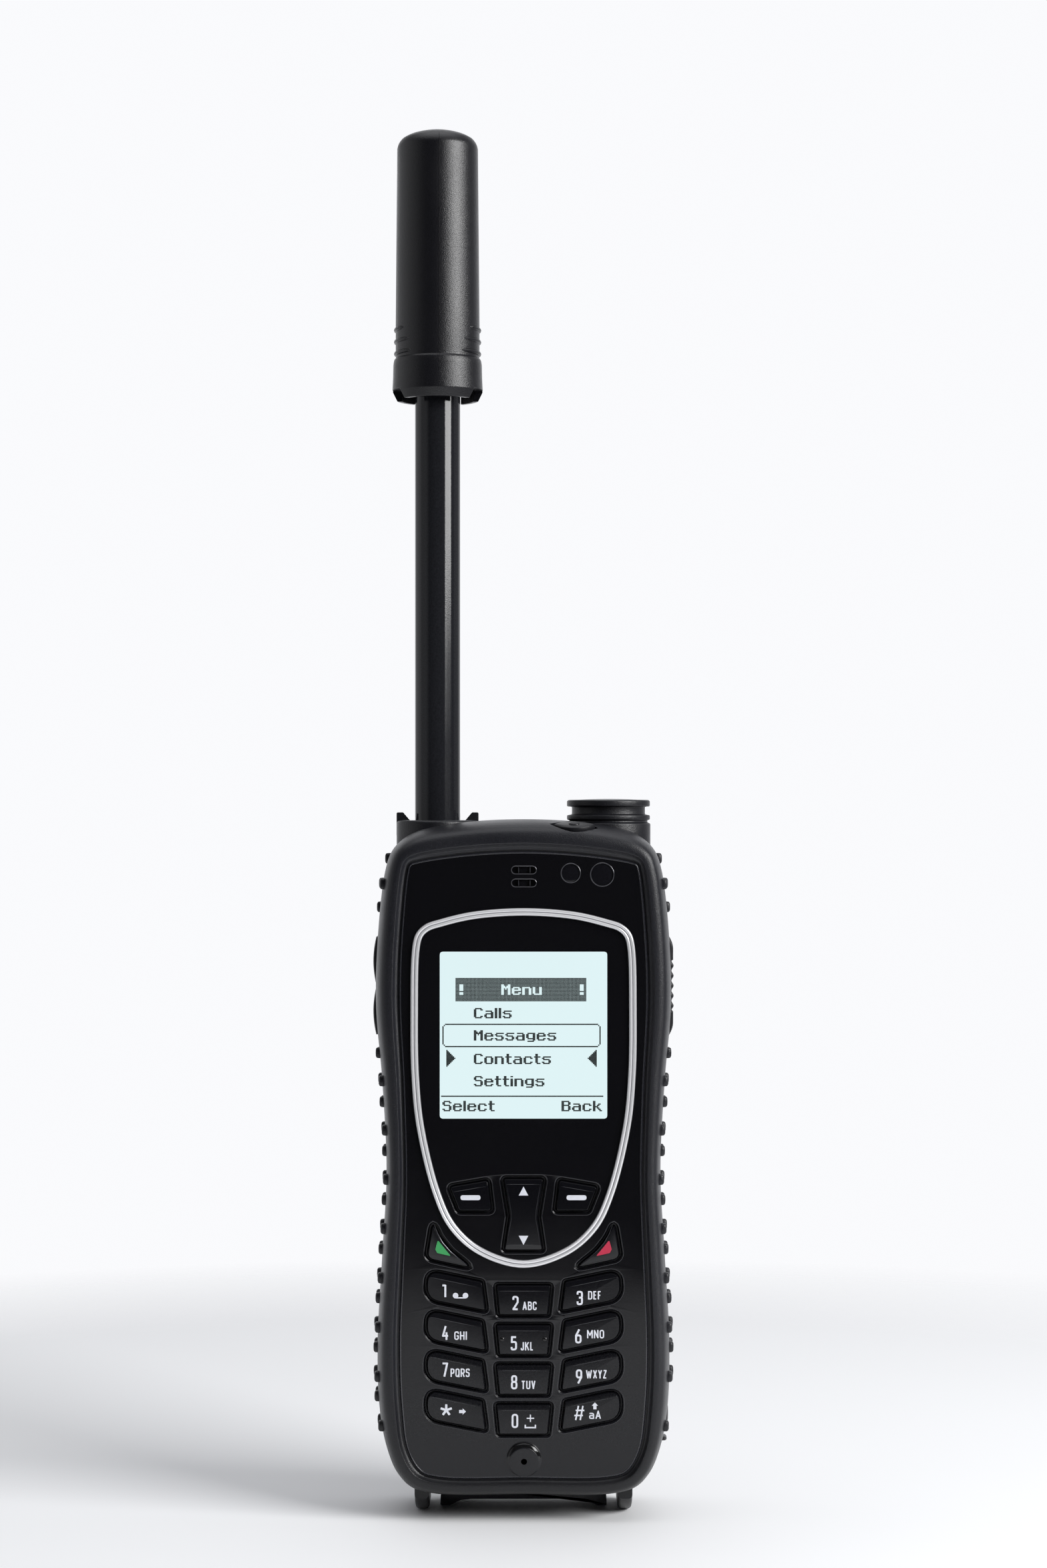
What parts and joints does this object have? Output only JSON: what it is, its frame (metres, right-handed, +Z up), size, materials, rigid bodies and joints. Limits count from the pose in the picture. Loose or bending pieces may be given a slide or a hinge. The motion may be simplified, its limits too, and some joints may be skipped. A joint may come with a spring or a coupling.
{
  "type": "satellite phone",
  "caption": "Rugged handheld satellite phone with rubber frame, keypad, screen, side buttons, rear battery and an antenna that slides out of the top corner.",
  "frame": {"origin": "on the surface the handset stands on, under the centre of its bounding box", "axes": "+Z up along the antenna, front face towards -Y, +X to the right of someone facing the keypad"},
  "size_m": [0.06, 0.0282, 0.2789],
  "materials": {
    "rubber": "satin grained overmoulded rubber",
    "casing": "fine-grained satin polycarbonate",
    "gloss": "polished black",
    "keys": "satin with fine texture",
    "chrome": "satin silver plating",
    "steel": "stamped and plated",
    "glass": "clear polycarbonate",
    "screen": "backlit pale cyan liquid crystal panel",
    "board": "green solder mask",
    "silicone": "matt silicone",
    "ceramic": "pale ceramic filled plastic",
    "gold": "gold plating",
    "cell": "grey wrap",
    "legend_white": "white print",
    "legend_green": "green print",
    "legend_red": "red print"
  },
  "bodies": {
    "handset": {"rubber_frame": "rubber", "rear_casing": "casing", "antenna_cup": "casing", "gps_housing": "casing", "front_plate": "gloss", "gps_cap": "gloss", "chrome_ring": "chrome", "display_window": "glass", "signal_light": "glass", "light_sensor": "glass", "lcd_module": "screen", "keypad_mat": "silicone", "casing_seal": "silicone", "main_board": "board", "rf_shield": "steel", "sim_card": "cell", "earpiece": "steel", "microphone": "steel", "loudspeaker": "steel", "vibration_motor": "steel", "data_connector": "steel", "mast_guide": "steel", "screw_1": "steel", "screw_2": "steel", "screw_3": "steel", "screw_4": "steel", "audio_jack": "gold", "battery_contacts": "gold", "gps_patch": "ceramic"},
    "antenna": {"antenna_mast": "gloss", "antenna_head": "casing", "antenna_element": "ceramic"},
    "battery": {"battery_shell": "casing", "battery_cell": "cell"},
    "battery_latch": {"battery_latch": "casing"},
    "nav_rocker": {"nav_rocker": "keys"},
    "power_button": {"power_button": "keys"},
    "volume_rocker": {"volume_rocker": "keys"},
    "talk_button": {"talk_button": "keys"},
    "connector_cover": {"connector_cover": "rubber"},
    "key_1": {"key_1": "keys"},
    "key_2": {"key_2": "keys"},
    "key_3": {"key_3": "keys"},
    "key_4": {"key_4": "keys"},
    "key_5": {"key_5": "keys"},
    "key_6": {"key_6": "keys"},
    "key_7": {"key_7": "keys"},
    "key_8": {"key_8": "keys"},
    "key_9": {"key_9": "keys"},
    "key_star": {"key_star": "keys"},
    "key_0": {"key_0": "keys"},
    "key_hash": {"key_hash": "keys"},
    "key_soft_left": {"key_soft_left": "keys"},
    "key_soft_right": {"key_soft_right": "keys"},
    "key_call": {"key_call": "keys"},
    "key_end": {"key_end": "keys"}
  },
  "joints": [
    {"name": "antenna_slide", "type": "slide", "parent": "handset", "child": "antenna", "axis": [0, 0, 1], "range_m": [-0.083, 0]},
    {"name": "battery_lift_off", "type": "slide", "parent": "handset", "child": "battery", "axis": [0, 1, 0], "range_m": [0, 0.014]},
    {"name": "battery_latch_slide", "type": "slide", "parent": "handset", "child": "battery_latch", "axis": [0, 0, 1], "range_m": [0, 0.003], "stiffness_N_per_m": 250, "springref_m": -0.001},
    {"name": "connector_cover_hinge", "type": "hinge", "parent": "handset", "child": "connector_cover", "pos_m": [0.029, -0.0014, 0.0255], "axis": [0, -1, 0], "range_deg": [0, 110]},
    {"name": "nav_rocker_tilt", "type": "hinge", "parent": "handset", "child": "nav_rocker", "pos_m": [0, -0.0106, 0.0608], "axis": [1, 0, 0], "range_deg": [-3.5, 3.5], "stiffness_Nm_per_rad": 0.12},
    {"name": "volume_rocker_tilt", "type": "hinge", "parent": "handset", "child": "volume_rocker", "pos_m": [-0.0274, -0.001, 0.10545], "axis": [0, 1, 0], "range_deg": [-2.5, 2.5], "stiffness_Nm_per_rad": 0.2},
    {"name": "talk_button_press", "type": "slide", "parent": "handset", "child": "talk_button", "axis": [-1, 0, 0], "range_m": [0, 0.0006], "stiffness_N_per_m": 2500, "springref_m": -0.0002},
    {"name": "power_button_press", "type": "slide", "parent": "handset", "child": "power_button", "axis": [0, 0.2667, -0.9638], "range_m": [0, 0.0005], "stiffness_N_per_m": 2500, "springref_m": -0.0002},
    {"name": "key_1_press", "type": "slide", "parent": "handset", "child": "key_1", "axis": [0, 1, 0], "range_m": [0, 0.0005], "stiffness_N_per_m": 2200, "springref_m": -0.0002},
    {"name": "key_2_press", "type": "slide", "parent": "handset", "child": "key_2", "axis": [0, 1, 0], "range_m": [0, 0.0005], "stiffness_N_per_m": 2200, "springref_m": -0.0002},
    {"name": "key_3_press", "type": "slide", "parent": "handset", "child": "key_3", "axis": [0, 1, 0], "range_m": [0, 0.0005], "stiffness_N_per_m": 2200, "springref_m": -0.0002},
    {"name": "key_4_press", "type": "slide", "parent": "handset", "child": "key_4", "axis": [0, 1, 0], "range_m": [0, 0.0005], "stiffness_N_per_m": 2200, "springref_m": -0.0002},
    {"name": "key_5_press", "type": "slide", "parent": "handset", "child": "key_5", "axis": [0, 1, 0], "range_m": [0, 0.0005], "stiffness_N_per_m": 2200, "springref_m": -0.0002},
    {"name": "key_6_press", "type": "slide", "parent": "handset", "child": "key_6", "axis": [0, 1, 0], "range_m": [0, 0.0005], "stiffness_N_per_m": 2200, "springref_m": -0.0002},
    {"name": "key_7_press", "type": "slide", "parent": "handset", "child": "key_7", "axis": [0, 1, 0], "range_m": [0, 0.0005], "stiffness_N_per_m": 2200, "springref_m": -0.0002},
    {"name": "key_8_press", "type": "slide", "parent": "handset", "child": "key_8", "axis": [0, 1, 0], "range_m": [0, 0.0005], "stiffness_N_per_m": 2200, "springref_m": -0.0002},
    {"name": "key_9_press", "type": "slide", "parent": "handset", "child": "key_9", "axis": [0, 1, 0], "range_m": [0, 0.0005], "stiffness_N_per_m": 2200, "springref_m": -0.0002},
    {"name": "key_star_press", "type": "slide", "parent": "handset", "child": "key_star", "axis": [0, 1, 0], "range_m": [0, 0.0005], "stiffness_N_per_m": 2200, "springref_m": -0.0002},
    {"name": "key_0_press", "type": "slide", "parent": "handset", "child": "key_0", "axis": [0, 1, 0], "range_m": [0, 0.0005], "stiffness_N_per_m": 2200, "springref_m": -0.0002},
    {"name": "key_hash_press", "type": "slide", "parent": "handset", "child": "key_hash", "axis": [0, 1, 0], "range_m": [0, 0.0005], "stiffness_N_per_m": 2200, "springref_m": -0.0002},
    {"name": "key_soft_left_press", "type": "slide", "parent": "handset", "child": "key_soft_left", "axis": [0, 1, 0], "range_m": [0, 0.0005], "stiffness_N_per_m": 2200, "springref_m": -0.0002},
    {"name": "key_soft_right_press", "type": "slide", "parent": "handset", "child": "key_soft_right", "axis": [0, 1, 0], "range_m": [0, 0.0005], "stiffness_N_per_m": 2200, "springref_m": -0.0002},
    {"name": "key_call_press", "type": "slide", "parent": "handset", "child": "key_call", "axis": [0, 1, 0], "range_m": [0, 0.0005], "stiffness_N_per_m": 2200, "springref_m": -0.0002},
    {"name": "key_end_press", "type": "slide", "parent": "handset", "child": "key_end", "axis": [0, 1, 0], "range_m": [0, 0.0005], "stiffness_N_per_m": 2200, "springref_m": -0.0002}
  ]
}
